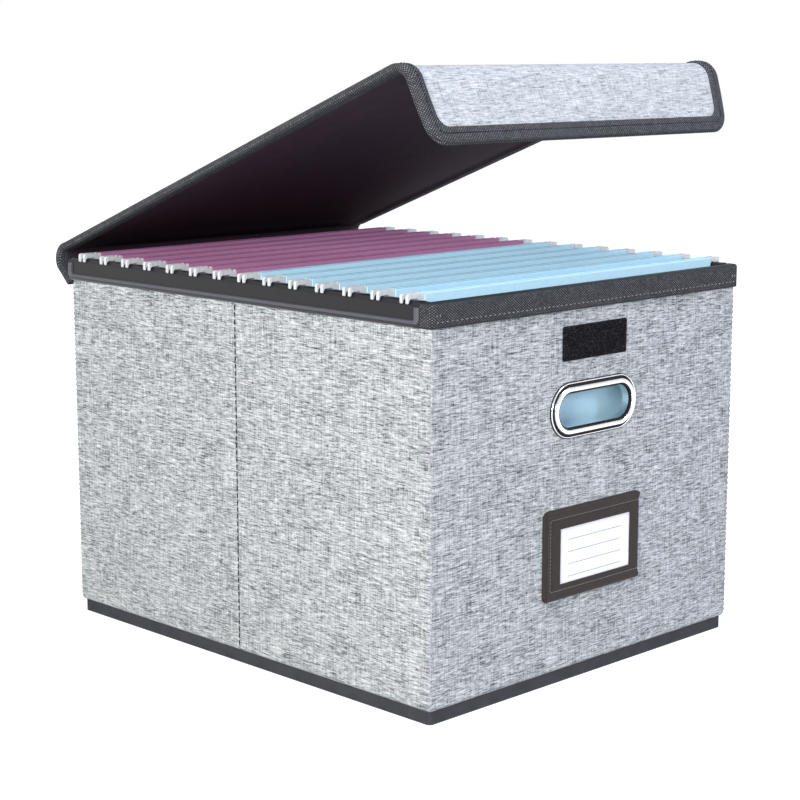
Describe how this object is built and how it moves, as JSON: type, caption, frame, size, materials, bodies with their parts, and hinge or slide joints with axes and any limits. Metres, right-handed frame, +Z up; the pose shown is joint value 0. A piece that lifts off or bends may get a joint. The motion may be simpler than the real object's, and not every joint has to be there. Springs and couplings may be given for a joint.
{
  "type": "file box",
  "caption": "Lidded box of cloth-covered boards holding hanging file folders on two side rails, with a hinged flap lid, chrome hand grips and a label holder.",
  "frame": {"origin": "centre of the rectangle that the box stands on", "axes": "+Z up, -Y out of the front wall with the label holder, +X to the right seen from the front"},
  "size_m": [0.3174, 0.3937, 0.4111],
  "materials": {
    "linen_cloth": "matte",
    "base_cloth": "matte",
    "twill_binding": "matte",
    "rail_plastic": "satin",
    "chrome": "polished",
    "hook_and_loop": "matte",
    "leatherette": "satin",
    "white_card": "matte",
    "lid_lining": "satin",
    "folder_mauve": "matte",
    "folder_blue": "matte",
    "white_plastic": "satin"
  },
  "bodies": {
    "box": {"front_wall": "linen_cloth", "rear_wall": "linen_cloth", "left_wall_front_half": "linen_cloth", "left_wall_rear_half": "linen_cloth", "right_wall_front_half": "linen_cloth", "right_wall_rear_half": "linen_cloth", "base_panel": "base_cloth", "base_stiffener": "base_cloth", "bottom_band": "twill_binding", "front_rim": "twill_binding", "rear_rim": "twill_binding", "left_rail": "rail_plastic", "right_rail": "rail_plastic", "front_grip_ring": "chrome", "rear_grip_ring": "chrome", "front_grip_back": "chrome", "rear_grip_back": "chrome", "loop_patch": "hook_and_loop", "label_holder": "leatherette", "hinge_tape": "twill_binding"},
    "label_card": {"label_card": "white_card"},
    "lid_rear_flap": {"lid_rear_flap": "linen_cloth", "lid_rear_bindings": "twill_binding"},
    "lid_top": {"lid_top": "linen_cloth", "lid_top_bindings": "twill_binding", "lid_lining": "lid_lining"},
    "lid_front_flap": {"lid_front_flap": "linen_cloth", "lid_front_binding": "twill_binding", "lid_front_lining": "lid_lining", "hook_patch": "hook_and_loop"},
    "folder_01": {"folder_01": "folder_mauve", "folder_01_hangers": "white_plastic"},
    "folder_02": {"folder_02": "folder_mauve", "folder_02_hangers": "white_plastic"},
    "folder_03": {"folder_03": "folder_mauve", "folder_03_hangers": "white_plastic"},
    "folder_04": {"folder_04": "folder_mauve", "folder_04_hangers": "white_plastic"},
    "folder_05": {"folder_05": "folder_mauve", "folder_05_hangers": "white_plastic"},
    "folder_06": {"folder_06": "folder_mauve", "folder_06_hangers": "white_plastic"},
    "folder_07": {"folder_07": "folder_mauve", "folder_07_hangers": "white_plastic"},
    "folder_08": {"folder_08": "folder_blue", "folder_08_hangers": "white_plastic"},
    "folder_09": {"folder_09": "folder_blue", "folder_09_hangers": "white_plastic"},
    "folder_10": {"folder_10": "folder_blue", "folder_10_hangers": "white_plastic"},
    "folder_11": {"folder_11": "folder_blue", "folder_11_hangers": "white_plastic"},
    "folder_12": {"folder_12": "folder_blue", "folder_12_hangers": "white_plastic"},
    "folder_13": {"folder_13": "folder_blue", "folder_13_hangers": "white_plastic"},
    "folder_14": {"folder_14": "folder_blue", "folder_14_hangers": "white_plastic"}
  },
  "joints": [
    {"name": "lid_hinge", "type": "hinge", "parent": "box", "child": "lid_rear_flap", "pos_m": [0, 0.1931, 0.2502], "axis": [-1, 0, 0], "range_deg": [-20.9, 147.1]},
    {"name": "lid_rear_fold", "type": "hinge", "parent": "lid_rear_flap", "child": "lid_top", "pos_m": [0, 0.20488, 0.27118], "axis": [-1, 0, 0], "range_deg": [0, 42]},
    {"name": "lid_front_fold", "type": "hinge", "parent": "lid_top", "child": "lid_front_flap", "pos_m": [0, -0.15882, 0.40971], "axis": [-1, 0, 0], "range_deg": [-3.4, 90]},
    {"name": "card_slide", "type": "slide", "parent": "box", "child": "label_card", "axis": [1, 0, 0], "range_m": [0, 0.08]},
    {"name": "folder_01_slide", "type": "slide", "parent": "box", "child": "folder_01", "axis": [0, 1, 0], "range_m": [-0.008, 0.008]},
    {"name": "folder_02_slide", "type": "slide", "parent": "box", "child": "folder_02", "axis": [0, 1, 0], "range_m": [-0.008, 0.008]},
    {"name": "folder_03_slide", "type": "slide", "parent": "box", "child": "folder_03", "axis": [0, 1, 0], "range_m": [-0.008, 0.008]},
    {"name": "folder_04_slide", "type": "slide", "parent": "box", "child": "folder_04", "axis": [0, 1, 0], "range_m": [-0.008, 0.008]},
    {"name": "folder_05_slide", "type": "slide", "parent": "box", "child": "folder_05", "axis": [0, 1, 0], "range_m": [-0.008, 0.008]},
    {"name": "folder_06_slide", "type": "slide", "parent": "box", "child": "folder_06", "axis": [0, 1, 0], "range_m": [-0.008, 0.008]},
    {"name": "folder_07_slide", "type": "slide", "parent": "box", "child": "folder_07", "axis": [0, 1, 0], "range_m": [-0.008, 0.008]},
    {"name": "folder_08_slide", "type": "slide", "parent": "box", "child": "folder_08", "axis": [0, 1, 0], "range_m": [-0.008, 0.008]},
    {"name": "folder_09_slide", "type": "slide", "parent": "box", "child": "folder_09", "axis": [0, 1, 0], "range_m": [-0.008, 0.008]},
    {"name": "folder_10_slide", "type": "slide", "parent": "box", "child": "folder_10", "axis": [0, 1, 0], "range_m": [-0.008, 0.008]},
    {"name": "folder_11_slide", "type": "slide", "parent": "box", "child": "folder_11", "axis": [0, 1, 0], "range_m": [-0.008, 0.008]},
    {"name": "folder_12_slide", "type": "slide", "parent": "box", "child": "folder_12", "axis": [0, 1, 0], "range_m": [-0.008, 0.008]},
    {"name": "folder_13_slide", "type": "slide", "parent": "box", "child": "folder_13", "axis": [0, 1, 0], "range_m": [-0.008, 0.008]},
    {"name": "folder_14_slide", "type": "slide", "parent": "box", "child": "folder_14", "axis": [0, 1, 0], "range_m": [-0.008, 0.008]}
  ]
}
